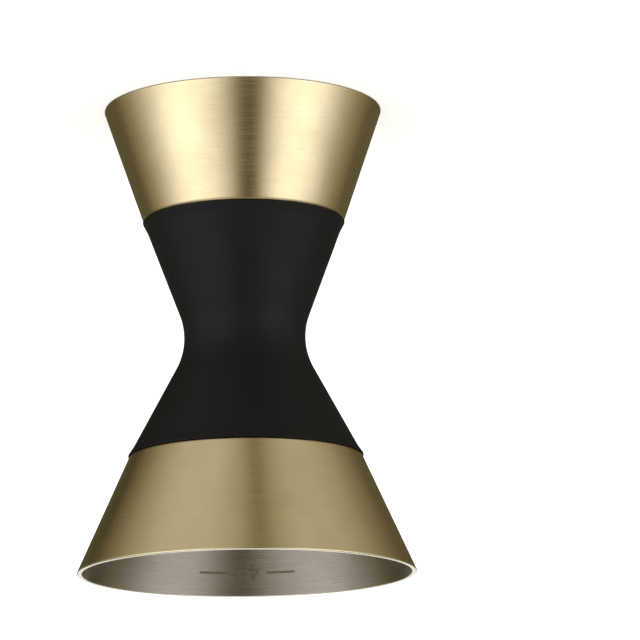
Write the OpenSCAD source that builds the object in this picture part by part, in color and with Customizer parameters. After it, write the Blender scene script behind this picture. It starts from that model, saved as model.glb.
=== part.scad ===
// Double-ended bar jigger: two conical sheet-metal cups stand floor to floor, a weld holds them
// together, and a soft grip sits in the recess around the waist that they form.
// The jigger rests on its small rim in the plane Z = 0, and +Z runs along its axis to the large rim.

/* [Large cup] */
// Height of the large cup, from its rim to the seam between the cups
large_cup_h = 40.4; // [33:0.1:49]
// Outside diameter of the large rim, over its rounded edge
large_rim_d = 57; // [47:0.1:69]
// Angle between the wall of the large cup and the axis, in degrees
large_angle = 24.25; // [20:0.05:29.5]

/* [Small cup] */
// Height of the small cup, from its rim to the seam between the cups
small_cup_h = 39.6; // [33:0.1:48]
// Outside diameter of the small rim, over its rounded edge
small_rim_d = 47.3; // [39:0.1:57]
// Angle between the wall of the small cup and the axis, in degrees
small_angle = 18.85; // [15:0.05:23]

/* [Sheet metal] */
// Thickness of the sheet that both cups are pressed from
wall = 0.8; // [0.5:0.05:1.2]
// Radius on the inner and outer edge of each rim
rim_edge_r = 0.2; // [0.05:0.05:0.25]
// Diameter at which the necks of the cups would meet the seam if their bends were sharp
neck_d = 15; // [12:0.1:18]
// Outside radius of the bend between floor and neck
floor_bend_r = 2; // [1.4:0.1:3]
// Inside radius of the two bends of the shoulder that ends each neck
shoulder_bend_r = 0.5; // [0.2:0.05:0.8]
// Height of the shoulder, along the axis
shoulder_h = 0.9; // [0.6:0.05:1.5]

/* [Grip] */
// Distance from the seam to the edge of the grip on the large cup
grip_large_reach = 20.5; // [16:0.1:26]
// Distance from the seam to the edge of the grip on the small cup
grip_small_reach = 20.2; // [16:0.1:26]
// Depth of the recess that holds the grip, square to the wall of each cup
grip_recess = 1.3; // [0.9:0.05:1.8]
// Thickness of the grip around the seam, from the neck diameter outwards
grip_waist_t = 2.8; // [2:0.05:3.5]
// Radius of the curve that the grip makes along the axis at its waist
grip_waist_curve_r = 11.5; // [8:0.5:16]
// Least thickness that the waist's curve leaves between itself and a neck, which limits its radius
grip_min_t = 0.6; // [0.4:0.1:1]
// Height of the grip's edge above the wall of the large cup
large_lip = 0.38; // [0:0.02:0.5]
// Height of the grip's edge above the wall of the small cup
small_lip = 0.24; // [0:0.02:0.5]
// Radius on the edges of the grip
lip_edge_r = 0.12; // [0.05:0.01:0.2]
// Extra radius that a flare gives the edge of the grip on the large cup
large_flare = 0.22; // [0:0.02:0.5]
// Extra radius that a flare gives the edge of the grip on the small cup
small_flare = 0.26; // [0:0.02:0.5]
// Length over which the grip flares
flare_len = 1.8; // [1.2:0.1:6]
// Radius of the curve that leads into a flare
flare_curve_r = 6; // [2:1:12]
// Gap between the grip and the cups, which is nothing where the grip is stretched on
grip_gap = 0; // [0:0.02:0.1]

/* [Weld] */
// Radius of the weld bead's section
weld_section_r = 0.85; // [0.6:0.05:1]
// Distance from the top of the weld bead to the grip that bridges it
weld_clearance = 0.3; // [0.1:0.05:0.5]

/* [Hidden] */

// The turned outlines are drawn as [radius, height over the seam].
BEND_STEPS = 6;
WAIST_STEPS = 10;
// A corner that turns by less than this many degrees isn't rounded.
STRAIGHT = 0.01;
$fn = 96;

GOLD = [0.72, 0.62, 0.38];
GRIP_BLACK = [0.09, 0.09, 0.09];
WELD_GREY = [0.5, 0.48, 0.45];

function unit(v) = v / norm(v);

// Points of the arc of radius r that rounds corner b of the path a, b, c
function corner_arc(a, b, c, r) =
    let (
        back = unit(a - b),
        ahead = unit(c - b),
        half = acos(back * ahead) / 2,
        sweep = 180 - 2 * half
    )
    sweep < STRAIGHT ? [b] :
    let (
        centre = b + unit(back + ahead) * r / sin(half),
        first = b + back * r / tan(half) - centre,
        last = b + ahead * r / tan(half) - centre
    )
    [for (i = [0:BEND_STEPS])
        let (share = i / BEND_STEPS)
        centre + (first * sin(sweep * (1 - share)) + last * sin(sweep * share)) / sin(sweep)];

// The path with a radius on each corner between its two ends
function rounded(path, radii) = [
    path[0],
    for (i = [1:len(path) - 2]) each corner_arc(path[i - 1], path[i], path[i + 1], radii[i]),
    path[len(path) - 1]
];

// The line from a to b, moved square to itself by d towards its left
function moved_line(a, b, d) = let (across = unit([a.y - b.y, b.x - a.x]) * d) [a + across, b + across];

// Where the lines through the point pairs p and q cross
function crossing(p, q) =
    let (
        along_p = p[1] - p[0],
        along_q = q[1] - q[0]
    )
    p[0] + along_p * cross(q[0] - p[0], along_q) / cross(along_p, along_q);

// The corners of a path that is moved square to itself by d towards its left
function moved_path(path, d) =
    let (end = len(path) - 1)
    [
        moved_line(path[0], path[1], d)[0],
        for (i = [1:end - 1])
            crossing(moved_line(path[i - 1], path[i], d), moved_line(path[i], path[i + 1], d)),
        moved_line(path[end - 1], path[end], d)[1]
    ];

function reversed(path) = [for (i = [len(path) - 1:-1:0]) path[i]];

function below_seam(path) = [for (p = path) [p.x, -p.y]];

// Radius of the sharp corner that rounds off to an outside diameter of rim_d
function rim_corner_r(rim_d, angle) = rim_d / 2 + rim_edge_r * (tan(angle) + 1 / cos(angle) - 1);

// Radius of a cup's outer cone at height t over the seam
function cone_r(h, rim_d, angle, t) = rim_corner_r(rim_d, angle) - (h - t) * tan(angle);

// Sharp corners of a cup's outside: floor centre, floor edge, neck end, shoulder, rim
function outside(h, rim_d, angle, reach) = [
    [0, 0],
    [neck_d / 2, 0],
    [cone_r(h, rim_d, angle, reach - shoulder_h) - grip_recess / cos(angle), reach - shoulder_h],
    [cone_r(h, rim_d, angle, reach), reach],
    [rim_corner_r(rim_d, angle), h]
];

LARGE_OUTSIDE = outside(large_cup_h, large_rim_d, large_angle, grip_large_reach);
SMALL_OUTSIDE = outside(small_cup_h, small_rim_d, small_angle, grip_small_reach);

// Closed outline of a cup's sheet, which keeps its thickness around every bend
function sheet_outline(corners) =
    let (
        inside = moved_path(corners, wall),
        rim = corners[4],
        inner_rim = crossing([inside[3], inside[4]], [rim, rim - [1, 0]]),
        wide_bend_r = shoulder_bend_r + wall
    )
    rounded(
        [each corners, inner_rim, inside[3], inside[2], inside[1], inside[0]],
        [0, floor_bend_r, shoulder_bend_r, wide_bend_r, rim_edge_r,
         rim_edge_r, shoulder_bend_r, wide_bend_r, floor_bend_r - wall, 0]
    );

// The bend between a cup's floor and its neck, seen from outside
function floor_bend(corners) = corner_arc(corners[0], corners[1], corners[2], floor_bend_r);

// The outside of a cup as far as its shoulder, filled to the axis
function filled_outline(corners) = [
    corners[0],
    each floor_bend(corners),
    corners[2],
    [0, corners[2].y]
];

// The surface of the grip that lies on a cup, from the seam to the shoulder
function seat_path(corners) =
    let (
        moved = moved_path(corners, -grip_gap),
        bend = corner_arc(moved[0], moved[1], moved[2], floor_bend_r + grip_gap),
        shoulder = corner_arc(moved[2], moved[3], moved[4], shoulder_bend_r + wall + grip_gap)
    )
    [
        bend[BEND_STEPS],
        each corner_arc(moved[1], moved[2], moved[3], shoulder_bend_r - grip_gap),
        shoulder[0]
    ];

// Radius of the waist's curve on a cup, which is smaller where it would cut too near a wide neck
function waist_curve_r(corners) =
    let (
        neck = corners[2] - corners[1],
        slope = atan2(neck.x, neck.y)
    )
    min(grip_waist_curve_r, (grip_waist_t * cos(slope) - grip_min_t) / (1 - cos(slope)));

// The outside of one half of the grip, from the waist to the rounded lip at its edge
function grip_path(corners, lip, flare) =
    let (
        seat = seat_path(corners),
        edge = corners[3] + [lip, 0],
        aim = edge - [flare, 0],
        curve_r = waist_curve_r(corners),
        curve_centre = [neck_d / 2 + grip_waist_t + curve_r, 0],
        out = aim - curve_centre,
        end_angle = atan2(out.y, out.x) + acos(curve_r / norm(out)),
        waist = [for (i = [0:WAIST_STEPS])
            let (a = 180 + (end_angle - 180) * i / WAIST_STEPS)
            curve_centre + curve_r * [cos(a), sin(a)]],
        waist_end = waist[WAIST_STEPS],
        flare_start = aim - unit(aim - waist_end) * flare_len
    )
    [
        each waist,
        each corner_arc(waist_end, flare_start, edge, flare_curve_r),
        each corner_arc(flare_start, edge, seat[len(seat) - 1], lip_edge_r)
    ];

// The grip bridges the groove at this radius, which leaves the weld its clearance.
BRIDGE_R = min(seat_path(LARGE_OUTSIDE)[0].x, seat_path(SMALL_OUTSIDE)[0].x);
WELD_CENTRE_R = BRIDGE_R - weld_clearance - weld_section_r;

module turned(outline) {
    rotate_extrude() polygon(outline);
}

module large_cup() {
    color(GOLD)
        translate([0, 0, small_cup_h])
            turned(sheet_outline(LARGE_OUTSIDE));
}

module small_cup() {
    color(GOLD)
        translate([0, 0, small_cup_h])
            turned(below_seam(sheet_outline(SMALL_OUTSIDE)));
}

// The bead fills the groove that the bends of the two floors leave between them.
module waist_weld() {
    color(WELD_GREY)
        translate([0, 0, small_cup_h])
            rotate_extrude()
                difference() {
                    translate([WELD_CENTRE_R, 0]) circle(weld_section_r);
                    polygon(filled_outline(LARGE_OUTSIDE));
                    polygon(below_seam(filled_outline(SMALL_OUTSIDE)));
                }
}

module grip_sleeve() {
    color(GRIP_BLACK)
        translate([0, 0, small_cup_h])
            turned([
                each grip_path(LARGE_OUTSIDE, large_lip, large_flare),
                each reversed(seat_path(LARGE_OUTSIDE)),
                each below_seam(seat_path(SMALL_OUTSIDE)),
                each below_seam(reversed(grip_path(SMALL_OUTSIDE, small_lip, small_flare)))
            ]);
}

large_cup();
small_cup();
waist_weld();
grip_sleeve();
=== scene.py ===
"""Looks of a double-ended bar jigger: two satin gold cups, brushed steel inside, and a matt grip.

The cups and the grip are turned afresh from the outlines of their CAD nodes, so they keep the
frame's sizes. The jigger stands on its small cup, and the camera hangs upside down.
"""

import math

import bmesh
import bpy
from mathutils import Matrix, Vector
from mathutils.geometry import interpolate_bezier


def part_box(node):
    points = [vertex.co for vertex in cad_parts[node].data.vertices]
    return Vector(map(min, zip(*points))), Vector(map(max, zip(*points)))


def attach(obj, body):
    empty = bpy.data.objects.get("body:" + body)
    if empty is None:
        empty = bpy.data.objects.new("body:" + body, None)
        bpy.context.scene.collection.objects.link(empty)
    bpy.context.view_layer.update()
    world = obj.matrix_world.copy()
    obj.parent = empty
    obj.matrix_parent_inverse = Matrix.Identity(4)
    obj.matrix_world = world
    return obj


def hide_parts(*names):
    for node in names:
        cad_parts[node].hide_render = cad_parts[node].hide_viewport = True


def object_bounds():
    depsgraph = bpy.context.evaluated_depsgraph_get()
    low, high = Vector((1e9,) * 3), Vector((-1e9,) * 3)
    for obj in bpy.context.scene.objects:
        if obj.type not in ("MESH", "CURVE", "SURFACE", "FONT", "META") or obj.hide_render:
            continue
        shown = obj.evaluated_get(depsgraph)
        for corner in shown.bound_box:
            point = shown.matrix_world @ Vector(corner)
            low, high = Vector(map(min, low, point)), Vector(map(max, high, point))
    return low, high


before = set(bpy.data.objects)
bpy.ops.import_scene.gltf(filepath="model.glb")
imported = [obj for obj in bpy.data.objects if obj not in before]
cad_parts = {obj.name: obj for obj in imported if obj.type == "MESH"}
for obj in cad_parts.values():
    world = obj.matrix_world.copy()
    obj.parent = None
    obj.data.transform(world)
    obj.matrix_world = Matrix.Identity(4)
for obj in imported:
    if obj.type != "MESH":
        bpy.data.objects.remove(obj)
bpy.context.view_layer.update()
cad_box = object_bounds()

MM = 0.001


# ---- Turned shapes ----

SEGMENTS = 192
# Points closer than this count as one.
MERGE = 0.01 * MM
# The longest stretch between two rings, and the fewest parts that a stretch of an arc gets.
RING_STEP = 1.0 * MM
ARC_PARTS = 2
# Where the outline's direction at a point is this far off a stretch beside it, the corner is sharp.
GENTLE = math.radians(18)
# Where it is no further off than this at both ends, the stretch is straight.
STRAIGHT = math.radians(1)


def outline(node_name):
    """The (radius, height) points of a turned CAD node's outline, in order, read off its mesh."""
    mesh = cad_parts[node_name].data
    points, keys = {}, []
    for vertex in mesh.vertices:
        radius = math.hypot(vertex.co.x, vertex.co.y)
        key = (round(radius / MERGE), round(vertex.co.z / MERGE))
        points.setdefault(key, Vector((radius, vertex.co.z)))
        keys.append(key)
    links = {key: set() for key in points}
    for edge in mesh.edges:
        a, b = (keys[i] for i in edge.vertices)
        if a != b:
            links[a].add(b)
            links[b].add(a)
    ends = [key for key in links if len(links[key]) == 1]
    here = min(ends or links)
    chain = {here: points[here]}
    while fresh := [key for key in links[here] if key not in chain]:
        here = min(fresh, key=lambda key, last=points[here]: (points[key] - last).length)
        chain[here] = points[here]
    found = list(chain.values())
    return [point for point, last in zip(found, found[-1:] + found) if (point - last).length > MERGE]


def headings(points, closed):
    """The outline's direction at each point. Where an arc meets a straight, the straight's."""
    steps = [b - a for a, b in zip(points, points[1:] + points[:1])]
    if closed:
        before, after = steps[-1:] + steps[:-1], steps
    else:
        before, after = steps[:1] + steps[:-1], steps[:-1] + steps[-2:-1]
    return [(a * a.length + b * b.length).normalized() for a, b in zip(before, after)]


def refined(points, closed):
    """The outline with more points: arcs get ARC_PARTS times as many, straights one each RING_STEP."""
    along = headings(points, closed)
    count = len(points)
    fine = []
    for i in range(count if closed else count - 1):
        j = (i + 1) % count
        step = points[j] - points[i]
        both = (along[i], along[j])
        ways = [way if way.angle(step) < GENTLE else step.normalized() for way in both]
        bends = max(way.angle(step) for way in ways) > STRAIGHT
        parts = max(math.ceil(step.length / RING_STEP), ARC_PARTS if bends else 1)
        reach = step.length / 3
        handles = [points[i] + ways[0] * reach, points[j] - ways[1] * reach]
        fine += interpolate_bezier(points[i], *handles, points[j], parts + 1)[:-1]
    if not closed:
        fine.append(points[-1])
    return [Vector(point[:2]) for point in fine]


def add_rings(builder, points, ways, outward):
    """A ring of vertices for each point of an outline, and the surface's direction at each vertex."""
    rings, normals = [], []
    for point, way in zip(points, ways):
        side, up = way.y * outward, -way.x * outward
        ring = []
        for k in range(SEGMENTS if point.x > MERGE else 1):
            c, s = math.cos(math.tau * k / SEGMENTS), math.sin(math.tau * k / SEGMENTS)
            ring.append(builder.verts.new((point.x * c, point.x * s, point.y)))
            normals.append(Vector((side * c, side * s, up)))
        rings.append(ring)
    return rings, normals


def turned(name, points, closed, zones, materials):
    """A solid of revolution round Z, with a material for each stretch of its outline."""
    area = sum(a.x * b.y - b.x * a.y for a, b in zip(points, points[1:] + points[:1]))
    outward = 1 if area > 0 else -1
    builder = bmesh.new()
    rings, normals = add_rings(builder, points, headings(points, closed), outward)
    stretches = list(zip(rings, rings[1:] + rings[:1]))
    for zone, (lower, upper) in zip(zones, stretches if closed else stretches[:-1]):
        for k in range(SEGMENTS):
            corners = []
            for ring, turn in ((lower, k), (lower, k + 1), (upper, k + 1), (upper, k)):
                corner = ring[turn % len(ring)]
                if corner not in corners:
                    corners.append(corner)
            face = builder.faces.new(corners[::outward])
            face.material_index = zone
            face.smooth = True
    mesh = mesh_from(builder, name)
    for material in materials:
        mesh.materials.append(material)
    mesh.normals_split_custom_set_from_vertices(normals)
    return link(name, mesh)


def mesh_from(builder, name):
    """A mesh of what the builder holds, which ends the builder."""
    mesh = bpy.data.meshes.new(name)
    builder.to_mesh(mesh)
    builder.free()
    return mesh


def link(name, data):
    """An object in the scene that holds this data, at the frame's origin."""
    made = bpy.data.objects.new(name, data)
    bpy.context.scene.collection.objects.link(made)
    return made


# ---- Node helpers ----

def node(tree, kind, values=None, **settings):
    """A shader node with these settings, and with these inputs set or linked."""
    made = tree.nodes.new(kind)
    for name, value in settings.items():
        setattr(made, name, value)
    for socket, value in (values or {}).items():
        if isinstance(value, bpy.types.NodeSocket):
            tree.links.new(value, made.inputs[socket])
        else:
            made.inputs[socket].default_value = value
    return made


def maths(tree, operation, a, b=0.0):
    """The result of one sum on two numbers or sockets."""
    return node(tree, "ShaderNodeMath", {0: a, 1: b}, operation=operation).outputs[0]


def ranged(tree, value, low, high, to_low=0.0, to_high=1.0):
    """value, carried smoothly from the range low to high into another one, and held at its ends."""
    values = {"Value": value, "From Min": low, "From Max": high, "To Min": to_low, "To Max": to_high}
    made = node(tree, "ShaderNodeMapRange", values, interpolation_type="SMOOTHSTEP")
    return made.outputs["Result"]


def mixed(tree, share, a, b):
    """Colour a with this share of colour b over it."""
    # The node keeps its two colours at inputs 6 and 7, and their mix at output 2.
    made = node(tree, "ShaderNodeMix", {0: share, 6: a, 7: b}, data_type="RGBA")
    return made.outputs[2]


def noise(tree, vector, scale, detail=2.0, roughness=0.5):
    """Noise from 0 to 1 over this vector."""
    values = {"Vector": vector, "Scale": scale, "Detail": detail, "Roughness": roughness}
    return node(tree, "ShaderNodeTexNoise", values).outputs["Fac"]


def point_of(tree):
    """The shaded point, in the frame, in metres."""
    return node(tree, "ShaderNodeTexCoord").outputs["Object"]


def round_the_axis(tree, around, along, lean):
    """Coordinates without a seam in which noise lies as rings round Z, on cones and floors alike.

    around sets how short the streaks are, and along about how many there are in a metre. lean is 1
    on a shape that widens upwards and -1 on one that widens downwards."""
    point = node(tree, "ShaderNodeSeparateXYZ", {0: point_of(tree)}).outputs
    flat = node(tree, "ShaderNodeCombineXYZ", {0: point[0], 1: point[1]}).outputs[0]
    radius = node(tree, "ShaderNodeVectorMath", {0: flat}, operation="LENGTH").outputs["Value"]
    facing = node(tree, "ShaderNodeVectorMath", {0: flat}, operation="NORMALIZE").outputs[0]
    spread = node(tree, "ShaderNodeVectorMath", {0: facing, "Scale": around}, operation="SCALE")
    reach = maths(tree, "ADD", radius, maths(tree, "MULTIPLY", point[2], lean))
    height = maths(tree, "MULTIPLY", reach, along)
    rise = node(tree, "ShaderNodeCombineXYZ", {2: height}).outputs[0]
    both = node(tree, "ShaderNodeVectorMath", {0: spread.outputs[0], 1: rise}, operation="ADD")
    return both.outputs[0]


def new_material(name):
    """A material with an empty node tree, and that tree."""
    material = bpy.data.materials.new(name)
    material.use_nodes = True
    material.node_tree.nodes.clear()
    return material, material.node_tree


def finish_surface(tree, values):
    """The tree's surface, with these inputs."""
    surface = node(tree, "ShaderNodeBsdfPrincipled", values)
    node(tree, "ShaderNodeOutputMaterial", {"Surface": surface.outputs[0]})


# ---- Materials ----

GOLD = dict(
    base=(0.84, 0.71, 0.44, 1), pale=(0.90, 0.79, 0.54, 1), dark=(0.72, 0.59, 0.34, 1),
    rough=0.28, anisotropy=0.6,
)
STEEL = dict(
    base=(0.43, 0.40, 0.365, 1), pale=(0.52, 0.485, 0.445, 1), dark=(0.34, 0.31, 0.275, 1),
    rough=0.29, anisotropy=0.6,
)
EDGE_BRIGHT = (0.98, 0.95, 0.86, 1)
EDGE_DULL = (0.94, 0.89, 0.74, 1)
RUBBER_DARK = (0.0054, 0.0061, 0.0084, 1)
RUBBER_PALE = (0.0076, 0.0085, 0.0116, 1)
DUST = (0.11, 0.105, 0.095, 1)
STRAW_TINT = (0.50, 0.40, 0.26, 1)
BLUE_TINT = (0.30, 0.30, 0.36, 1)
BURN_DARK = (0.20, 0.148, 0.10, 1)
BURN_PALE = (0.30, 0.23, 0.165, 1)
FLOOR_WHITE = (0.9, 0.9, 0.9, 1)
# A quarter turn from the tangent round Z, so that highlights stretch across the brushing.
ACROSS_THE_GRAIN = 0.25
RINGS_A_METRE = 9000
SCRATCHES_A_METRE = 3200
WORN_BAND = 0.7 * MM


def brushed(name, lean, base, pale, dark, rough, anisotropy, streak_depth, rim=None):
    """Sheet metal that was brushed round its axis: fine rings, longer scratches and soft blotches."""
    material, tree = new_material(name)
    fine = noise(tree, round_the_axis(tree, 2.5, RINGS_A_METRE, lean), 1, 3, 0.6)
    scratch = noise(tree, round_the_axis(tree, 7, SCRATCHES_A_METRE, lean), 1, 1, 0.4)
    blotch = noise(tree, point_of(tree), 140, 3, 0.55)
    scratch = ranged(tree, scratch, 0.56, 0.78)
    colour = mixed(tree, ranged(tree, fine, 0.3, 0.7, 0, 0.5), base, pale)
    colour = mixed(tree, ranged(tree, blotch, 0.35, 0.75, 0, 0.35), colour, dark)
    colour = mixed(tree, maths(tree, "MULTIPLY", scratch, 0.3), colour, dark)
    if rim is not None:
        height = node(tree, "ShaderNodeSeparateXYZ", {0: point_of(tree)}).outputs[2]
        gap = maths(tree, "ABSOLUTE", maths(tree, "SUBTRACT", height, rim))
        worn = maths(tree, "MULTIPLY", ranged(tree, gap, WORN_BAND, 0, 0, 0.7), fine)
        colour = mixed(tree, worn, colour, pale)
    rub = ranged(tree, fine, 0.25, 0.75, rough - 0.05, rough + 0.05)
    rub = maths(tree, "ADD", rub, ranged(tree, blotch, 0.3, 0.7, -0.02, 0.02))
    depth = maths(tree, "SUBTRACT", fine, maths(tree, "MULTIPLY", scratch, 0.6))
    relief = {"Strength": streak_depth, "Distance": 0.02 * MM, "Height": depth}
    bump = node(tree, "ShaderNodeBump", relief)
    tangent = node(tree, "ShaderNodeTangent", direction_type="RADIAL", axis="Z")
    finish_surface(tree, {
        "Base Color": colour,
        "Metallic": 1.0,
        "Roughness": rub,
        "Anisotropic": anisotropy,
        "Anisotropic Rotation": ACROSS_THE_GRAIN,
        "Tangent": tangent.outputs[0],
        "Normal": bump.outputs[0],
    })
    return material


def ground_edge():
    """The rim's edge, where the sheet was cut and ground bright through its coat."""
    material, tree = new_material("ground_edge")
    grind = noise(tree, round_the_axis(tree, 40, 5000, 1), 1, 2)
    colour = mixed(tree, grind, EDGE_BRIGHT, EDGE_DULL)
    bump = node(tree, "ShaderNodeBump", {"Strength": 0.06, "Distance": 0.01 * MM, "Height": grind})
    finish_surface(tree, {
        "Base Color": colour,
        "Metallic": 1.0,
        "Roughness": ranged(tree, grind, 0.3, 0.7, 0.22, 0.34),
        "Normal": bump.outputs[0],
    })
    return material


def matt_rubber():
    """Soft-touch rubber: near black, with a fine stipple, faint cloudy wear and a few specks of dust."""
    material, tree = new_material("matt_rubber")
    point = point_of(tree)
    stipple = noise(tree, point, 5200, 2, 0.6)
    cloud = noise(tree, point, 90, 4, 0.6)
    specks = node(tree, "ShaderNodeTexVoronoi", {"Vector": point, "Scale": 900}, feature="F1")
    chance = node(tree, "ShaderNodeSeparateColor", {0: specks.outputs["Color"]}).outputs[0]
    dust = maths(tree, "MULTIPLY", ranged(tree, specks.outputs["Distance"], 0.10, 0.04),
                 ranged(tree, chance, 0.955, 0.97))
    colour = mixed(tree, ranged(tree, cloud, 0.35, 0.7), RUBBER_DARK, RUBBER_PALE)
    colour = mixed(tree, maths(tree, "MULTIPLY", dust, 0.5), colour, DUST)
    bump = node(tree, "ShaderNodeBump", {"Strength": 0.35, "Distance": 0.03 * MM, "Height": stipple})
    finish_surface(tree, {
        "Base Color": colour,
        "Roughness": ranged(tree, cloud, 0.3, 0.7, 0.50, 0.60),
        "Specular IOR Level": 0.28,
        "Normal": bump.outputs[0],
    })
    return material


def weld_bead():
    """A weld's bead: rippled steel with straw and blue heat tints."""
    material, tree = new_material("weld_bead")
    wave = {"Vector": round_the_axis(tree, 12, 600, 1), "Scale": 2.0, "Distortion": 3.0, "Detail": 2.0}
    ripple = node(tree, "ShaderNodeTexWave", wave).outputs["Fac"]
    tint = noise(tree, point_of(tree), 350, 3)
    colour = mixed(tree, ranged(tree, tint, 0.35, 0.65), STRAW_TINT, BLUE_TINT)
    bump = node(tree, "ShaderNodeBump", {"Strength": 0.5, "Distance": 0.05 * MM, "Height": ripple})
    finish_surface(tree, {
        "Base Color": colour,
        "Metallic": 1.0,
        "Roughness": ranged(tree, tint, 0.3, 0.7, 0.35, 0.55),
        "Normal": bump.outputs[0],
    })
    return material


def etched():
    """A laser-darkened mark in the steel, browner than the metal round it."""
    material, tree = new_material("etched")
    burn = noise(tree, point_of(tree), 3000, 3)
    colour = mixed(tree, burn, BURN_DARK, BURN_PALE)
    bump = node(tree, "ShaderNodeBump", {"Strength": 0.3, "Distance": 0.01 * MM, "Height": burn})
    finish_surface(tree, {
        "Base Color": colour,
        "Metallic": 1.0,
        "Roughness": ranged(tree, burn, 0.3, 0.7, 0.45, 0.6),
        "Normal": bump.outputs[0],
    })
    return material


# ---- Pieces ----

# The zones of a cup's outline, in the order of its materials.
OUTSIDE, EDGE, INSIDE = range(3)
# How far from the rim's plane a stretch still counts as its edge.
RIM_BAND = 0.15 * MM
# How deep the brushed streaks look on the outside of each cup and on the inside of both.
LARGE_STREAKS = 0.22
SMALL_STREAKS = 0.12
INSIDE_STREAKS = 0.4


def cup_outline(node_name, rim):
    """A cup's outline from the axis out along its outside, over the rim and back down inside."""
    points = outline(node_name)
    if abs(points[0].y - rim) < abs(points[-1].y - rim):
        points.reverse()
    centres = [Vector((0, points[0].y)), Vector((0, points[-1].y))]
    return refined([centres[0], *points, centres[1]], closed=False)


def cup_zones(points, rim):
    """The zone of each stretch of a cup's outline."""
    zones, past_rim = [], False
    for a, b in zip(points, points[1:]):
        on_edge = abs((a.y + b.y) / 2 - rim) < RIM_BAND
        past_rim = past_rim or on_edge
        zones.append(EDGE if on_edge else INSIDE if past_rim else OUTSIDE)
    return zones


def cup(node_name, rim, lean, edge, streak_depth):
    """One cup in satin gold outside and brushed steel inside. Returns its outline and its zones."""
    points = cup_outline(node_name, rim)
    zones = cup_zones(points, rim)
    outside = brushed(node_name + "_gold", lean, **GOLD, streak_depth=streak_depth, rim=rim)
    inside = brushed(node_name + "_steel", lean, **STEEL, streak_depth=INSIDE_STREAKS)
    piece = turned(node_name + "_sheet", points, False, zones, [outside, edge, inside])
    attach(piece, "root")
    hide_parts(node_name)
    return points, zones


def grip():
    """The soft sleeve round the waist."""
    points = refined(outline("grip_sleeve"), closed=True)
    piece = turned("grip_rubber_sleeve", points, True, [0] * len(points), [matt_rubber()])
    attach(piece, "root")
    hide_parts("grip_sleeve")


def weld():
    """The weld keeps its CAD shape, with a better material."""
    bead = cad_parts["waist_weld"]
    material = weld_bead()
    for place in bead.material_slots:
        place.material = material


# ---- Etched fill marks ----

# The size of a digit, the gap between two, and the length of the line on each side of a number.
MARK_HEIGHT = 2.5 * MM
MARK_WIDTH = 1.7 * MM
MARK_GAP = 0.75 * MM
MARK_LINE = 4.6 * MM
# Half the width of a stroke, and how far it stands off the wall and reaches into it.
MARK_STROKE = 0.2 * MM
MARK_DEPTH = 0.02 * MM
# From the rim down the wall to the middle of the mark.
MARK_DROP = 3.3 * MM
# The longest stretch between two points of a stroke.
MARK_STEP = 0.4 * MM
# Angles in degrees at which a stroke's round ends have their points.
CAP_ANGLES = (80, 55, 30)
# Rings down the wall to the point that its slope is read from.
SLOPE_RINGS = 6


def bow(centre, radii, start, end, parts=14):
    """Points on part of an ellipse, between two angles in degrees."""
    turns = [math.radians(start + (end - start) * i / parts) for i in range(parts + 1)]
    return [(centre[0] + radii[0] * math.cos(t), centre[1] + radii[1] * math.sin(t)) for t in turns]


# Each digit's strokes, in a box 1 wide and 1 high.
DIGITS = {
    "0": [bow((0.5, 0.5), (0.42, 0.5), 90, 450, 32)],
    "3": [bow((0.46, 0.75), (0.36, 0.25), 150, -90), bow((0.46, 0.26), (0.42, 0.26), 90, -150)],
    "4": [[(0.70, 0.0), (0.70, 1.0), (0.04, 0.30), (0.98, 0.30)]],
    "5": [[(0.90, 1.0), (0.22, 1.0), (0.14, 0.52)] + bow((0.46, 0.32), (0.42, 0.32), 128, -145)],
}


def evenly(path, step):
    """A path with a point at least each step along its straight stretches."""
    fine = []
    for a, b in zip(path, path[1:]):
        parts = max(1, math.ceil((b - a).length / step))
        fine += [a.lerp(b, i / parts) for i in range(parts)]
    return fine + [path[-1]]


def stroke_outline(path, half):
    """Pairs of points to the left and right of a path, with rounded ends."""
    ways = [(b - a).normalized() for a, b in zip(path, path[1:])]
    ways = [ways[0]] + [(a + b).normalized() for a, b in zip(ways, ways[1:])] + [ways[-1]]
    caps = [math.radians(angle) for angle in CAP_ANGLES]
    pairs = []
    for turn in caps:
        pairs.append((path[0] - ways[0] * half * math.sin(turn), ways[0], half * math.cos(turn)))
    pairs += [(point, way, half) for point, way in zip(path, ways)]
    for turn in reversed(caps):
        pairs.append((path[-1] + ways[-1] * half * math.sin(turn), ways[-1], half * math.cos(turn)))
    return [(p + Vector((-w.y, w.x)) * h, p - Vector((-w.y, w.x)) * h) for p, w, h in pairs]


def mark_paths(number):
    """The strokes of a number with a fill line on each side of it, centred on the origin."""
    width = len(number) * MARK_WIDTH + (len(number) - 1) * MARK_GAP
    paths = []
    for i, digit in enumerate(number):
        left = i * (MARK_WIDTH + MARK_GAP) - width / 2
        for path in DIGITS[digit]:
            places = [(left + x * MARK_WIDTH, (y - 0.5) * MARK_HEIGHT) for x, y in path]
            paths.append([Vector(place) for place in places])
    for side in (-1, 1):
        near = width / 2 + 2 * MARK_GAP
        paths.append([Vector((side * near, 0)), Vector((side * (near + MARK_LINE), 0))])
    return paths


def add_stroke(builder, pairs, on_wall):
    """A thin closed shell in the shape of one stroke, half sunk in the wall."""
    over, under = (
        [[builder.verts.new(on_wall(point, lift)) for point in pair] for pair in pairs]
        for lift in (MARK_DEPTH, -MARK_DEPTH)
    )
    for i in range(len(pairs) - 1):
        builder.faces.new((over[i][0], over[i][1], over[i + 1][1], over[i + 1][0]))
        builder.faces.new((under[i][0], under[i + 1][0], under[i + 1][1], under[i][1]))
        for k in (0, 1):
            builder.faces.new((over[i][k], over[i + 1][k], under[i + 1][k], under[i][k]))
    for i in (0, -1):
        builder.faces.new((over[i][0], over[i][1], under[i][1], under[i][0]))


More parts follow.
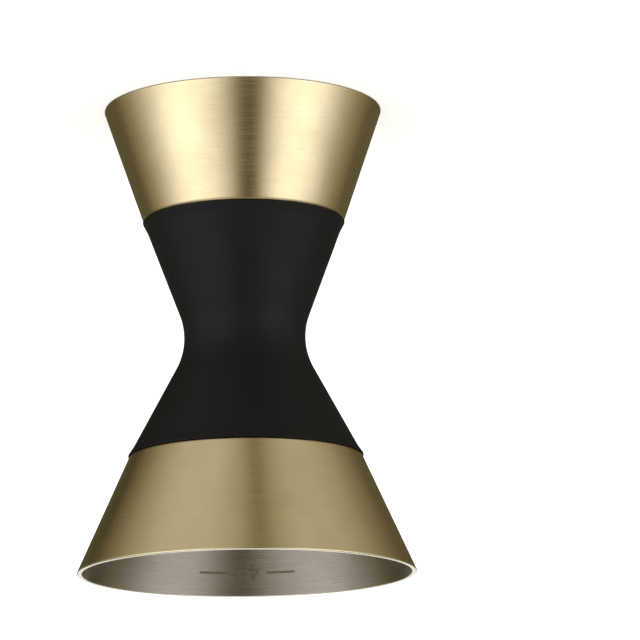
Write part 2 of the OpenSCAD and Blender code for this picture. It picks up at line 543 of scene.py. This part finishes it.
def fill_mark(name, number, points, zones, side, material):
    """A number etched inside a cup, below its rim, upright while that cup is on top.

    side is 1 on the wall towards +Y and -1 on the wall towards -Y."""
    first = zones.index(INSIDE) + 1
    top = points[first]
    down = (points[first + SLOPE_RINGS] - top).normalized()
    inward = Vector((-abs(down.y), -abs(down.x) if side < 0 else abs(down.x)))

    def on_wall(point, lift):
        """The place on the wall of a point of the flat mark, this far off the sheet."""
        place = top + down * (MARK_DROP - point.y) + inward * lift
        turn = point.x / place.x
        return place.x * math.sin(turn), side * place.x * math.cos(turn), place.y

    builder = bmesh.new()
    for path in mark_paths(number):
        add_stroke(builder, stroke_outline(evenly(path, MARK_STEP), MARK_STROKE), on_wall)
    bmesh.ops.recalc_face_normals(builder, faces=builder.faces)
    mesh = mesh_from(builder, name)
    mesh.materials.append(material)
    piece = link(name, mesh)
    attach(piece, "root")


# ---- Studio ----

FLOOR_HALF = 4.0
LAMP_SPREAD = math.radians(70)
LAMP_STRENGTH = 3.1
AIM = Vector((0, 0, (cad_box[0].z + cad_box[1].z) / 2))
# The camera that the photo was taken with, as far as the jigger's outline in it shows.
CAMERA_DISTANCE = 0.7088
CAMERA_ELEVATION = math.radians(11.38)
CAMERA_ROLL = math.radians(180 - 0.537)
CAMERA_LENS = 234.96
CAMERA_CLIP = (0.01, 50)
# Where the aim point lies in the picture, as tangents of the angle from its centre.
AIM_IN_PICTURE = (-0.01798, -0.00485)


def camera():
    """A long lens a little above the jigger, turned upside down, with the aim point off the centre."""
    back = Vector((0, -math.cos(CAMERA_ELEVATION), math.sin(CAMERA_ELEVATION)))
    facing = (-back).to_track_quat("-Z", "Y") @ Matrix.Rotation(CAMERA_ROLL, 3, "Z").to_quaternion()
    to_aim = Vector((*AIM_IN_PICTURE, -1)).normalized()
    eye = link("camera", bpy.data.cameras.new("camera"))
    eye.location = AIM + back * CAMERA_DISTANCE
    eye.rotation_mode = "QUATERNION"
    eye.rotation_quaternion = facing @ to_aim.rotation_difference(Vector((0, 0, -1)))
    eye.data.lens = CAMERA_LENS
    eye.data.clip_start, eye.data.clip_end = CAMERA_CLIP
    bpy.context.scene.camera = eye


def floor():
    """A white floor, lit by a lamp of its own so that only a faint shadow shows.

    The jigger doesn't mirror it and gets no light from it."""
    half = FLOOR_HALF
    corners = ((-half, -half, 0), (half, -half, 0), (half, half, 0), (-half, half, 0))
    builder = bmesh.new()
    builder.faces.new([builder.verts.new(corner) for corner in corners])
    mesh = mesh_from(builder, "floor")
    material, tree = new_material("floor_paint")
    finish_surface(tree, {"Base Color": FLOOR_WHITE, "Roughness": 0.9, "Specular IOR Level": 0.1})
    mesh.materials.append(material)
    made = link("floor", mesh)
    made.visible_glossy = False
    made.visible_diffuse = False
    lamp = bpy.data.lights.new("floor_lamp", "SUN")
    lamp.angle = LAMP_SPREAD
    lamp.energy = LAMP_STRENGTH
    over = link("floor_lamp", lamp)
    lit = bpy.data.collections.new("lit_by_floor_lamp")
    lit.objects.link(made)
    over.light_linking.receiver_collection = lit


# The studio's brightness by the angle from the camera, in degrees towards +X. Above the
# horizon two wide soft panels stand left and right of a dark gap, and below it lies their dim
# reflection.
PANELS = [
    (-180, 0.10), (-135, 0.11), (-115, 0.25), (-99, 0.46), (-86, 0.80), (-74, 1.26), (-63, 1.56),
    (-52, 1.66), (-42, 1.56), (-32, 1.18), (-23, 0.70), (-14, 0.20), (-6, 0.02), (3, 0.18),
    (12, 0.66), (22, 1.04), (32, 1.40), (44, 1.66), (55, 1.70), (65, 1.58), (75, 1.28), (86, 0.86),
    (98, 0.51), (113, 0.27), (132, 0.10), (180, 0.10),
]
REFLECTION = [
    (-180, 0.09), (-145, 0.10), (-122, 0.23), (-100, 0.40), (-84, 0.49), (-52, 0.51), (-34, 0.40),
    (-12, 0.17), (8, 0.42), (36, 0.56), (74, 0.58), (100, 0.39), (122, 0.19), (142, 0.05), (180, 0.09),
]
BRIGHTEST = 1.7
# Elevations in degrees over which the panels give way to the dark above them and to the reflection
# below them, and the share of their light that stays above.
PANEL_TOP = (25, 36)
PANEL_FOOT = (-28, -3)
ABOVE_PANELS = 0.26
# The other lights: the two elevations that each comes in between, and its level.
OVERHEAD = (26, 36, 0.09)
CEILING = (55, 75, 0.6)
REAR = (22, 36, 0.9)
BACK_WALL = (1, 9, 1.0)
# The share of a direction along +Y, away from the main camera, over which these two come in.
REAR_FROM = (0.45, 0.8)
BACK_WALL_FROM = (0.88, 0.97)
# The light's tint goes from WARM at the first of these levels to NEUTRAL at the second.
WARM_LEVELS = (0.05, 0.8)
WARM = (1.0, 0.87, 0.48, 1)
NEUTRAL = (1.0, 1.0, 0.99, 1)


def brightness(tree, turn, levels):
    """The brightness at this share of a turn from behind, read smoothly off a list of levels."""
    ramp = node(tree, "ShaderNodeValToRGB", {0: turn})
    ramp.color_ramp.interpolation = "EASE"
    stops = ramp.color_ramp.elements
    stops.remove(stops[-1])
    for i, (degrees, level) in enumerate(levels):
        place = degrees / 360 + 0.5
        stop = stops[0] if i == 0 else stops.new(place)
        stop.position = place
        stop.color = (*[level / BRIGHTEST] * 3, 1)
    return maths(tree, "MULTIPLY", ramp.outputs[0], BRIGHTEST)


def sine(degrees):
    """The height of a direction this many degrees above the horizon."""
    return math.sin(math.radians(degrees))


def rising(tree, height, start, full, level):
    """A light that comes in smoothly between two elevations, in degrees, up to this level."""
    return ranged(tree, height, sine(start), sine(full), 0, level)


def level_round_about(tree, x, y, z):
    """The light of the panels and of their reflection below them."""
    angle = maths(tree, "ARCTAN2", x, maths(tree, "MULTIPLY", y, -1))
    turn = maths(tree, "ADD", maths(tree, "DIVIDE", angle, math.tau), 0.5)
    kept = ranged(tree, z, *map(sine, PANEL_TOP), 1, ABOVE_PANELS)
    upper = maths(tree, "MULTIPLY", brightness(tree, turn, PANELS), kept)
    risen = ranged(tree, z, *map(sine, PANEL_FOOT))
    sunk = maths(tree, "SUBTRACT", 1, risen)
    upper = maths(tree, "MULTIPLY", upper, risen)
    lower = maths(tree, "MULTIPLY", brightness(tree, turn, REFLECTION), sunk)
    return maths(tree, "ADD", upper, lower)


def studio():
    """Soft panels left and right, their reflection below, and light from above and behind.

    The camera itself sees plain white past the floor."""
    world = bpy.data.worlds.new("studio")
    bpy.context.scene.world = world
    world.use_nodes = True
    tree = world.node_tree
    tree.nodes.clear()
    way = node(tree, "ShaderNodeTexCoord").outputs["Generated"]
    x, y, z = node(tree, "ShaderNodeSeparateXYZ", {0: way}).outputs
    rear = maths(tree, "MULTIPLY", ranged(tree, y, *REAR_FROM), rising(tree, z, *REAR))
    wall = maths(tree, "MULTIPLY", ranged(tree, y, *BACK_WALL_FROM), rising(tree, z, *BACK_WALL))
    level = level_round_about(tree, x, y, z)
    for part in (rising(tree, z, *OVERHEAD), rear, wall, rising(tree, z, *CEILING)):
        level = maths(tree, "ADD", level, part)
    tint = mixed(tree, ranged(tree, level, *WARM_LEVELS), WARM, NEUTRAL)
    shine = node(tree, "ShaderNodeBackground", {"Color": tint, "Strength": level})
    white = node(tree, "ShaderNodeBackground", {"Color": (1, 1, 1, 1), "Strength": 1.0})
    seen = node(tree, "ShaderNodeLightPath").outputs["Is Camera Ray"]
    either = node(tree, "ShaderNodeMixShader", {0: seen, 1: shine.outputs[0], 2: white.outputs[0]})
    node(tree, "ShaderNodeOutputWorld", {"Surface": either.outputs[0]})
    bpy.context.scene.view_settings.view_transform = "Standard"


rim_edge = ground_edge()
mark_material = etched()
large = cup("large_cup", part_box("large_cup")[1].z, 1, rim_edge, LARGE_STREAKS)
small = cup("small_cup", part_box("small_cup")[0].z, -1, rim_edge, SMALL_STREAKS)
fill_mark("large_cup_mark", "45", *large, 1, mark_material)
fill_mark("small_cup_mark", "30", *small, -1, mark_material)
grip()
weld()
camera()
floor()
studio()
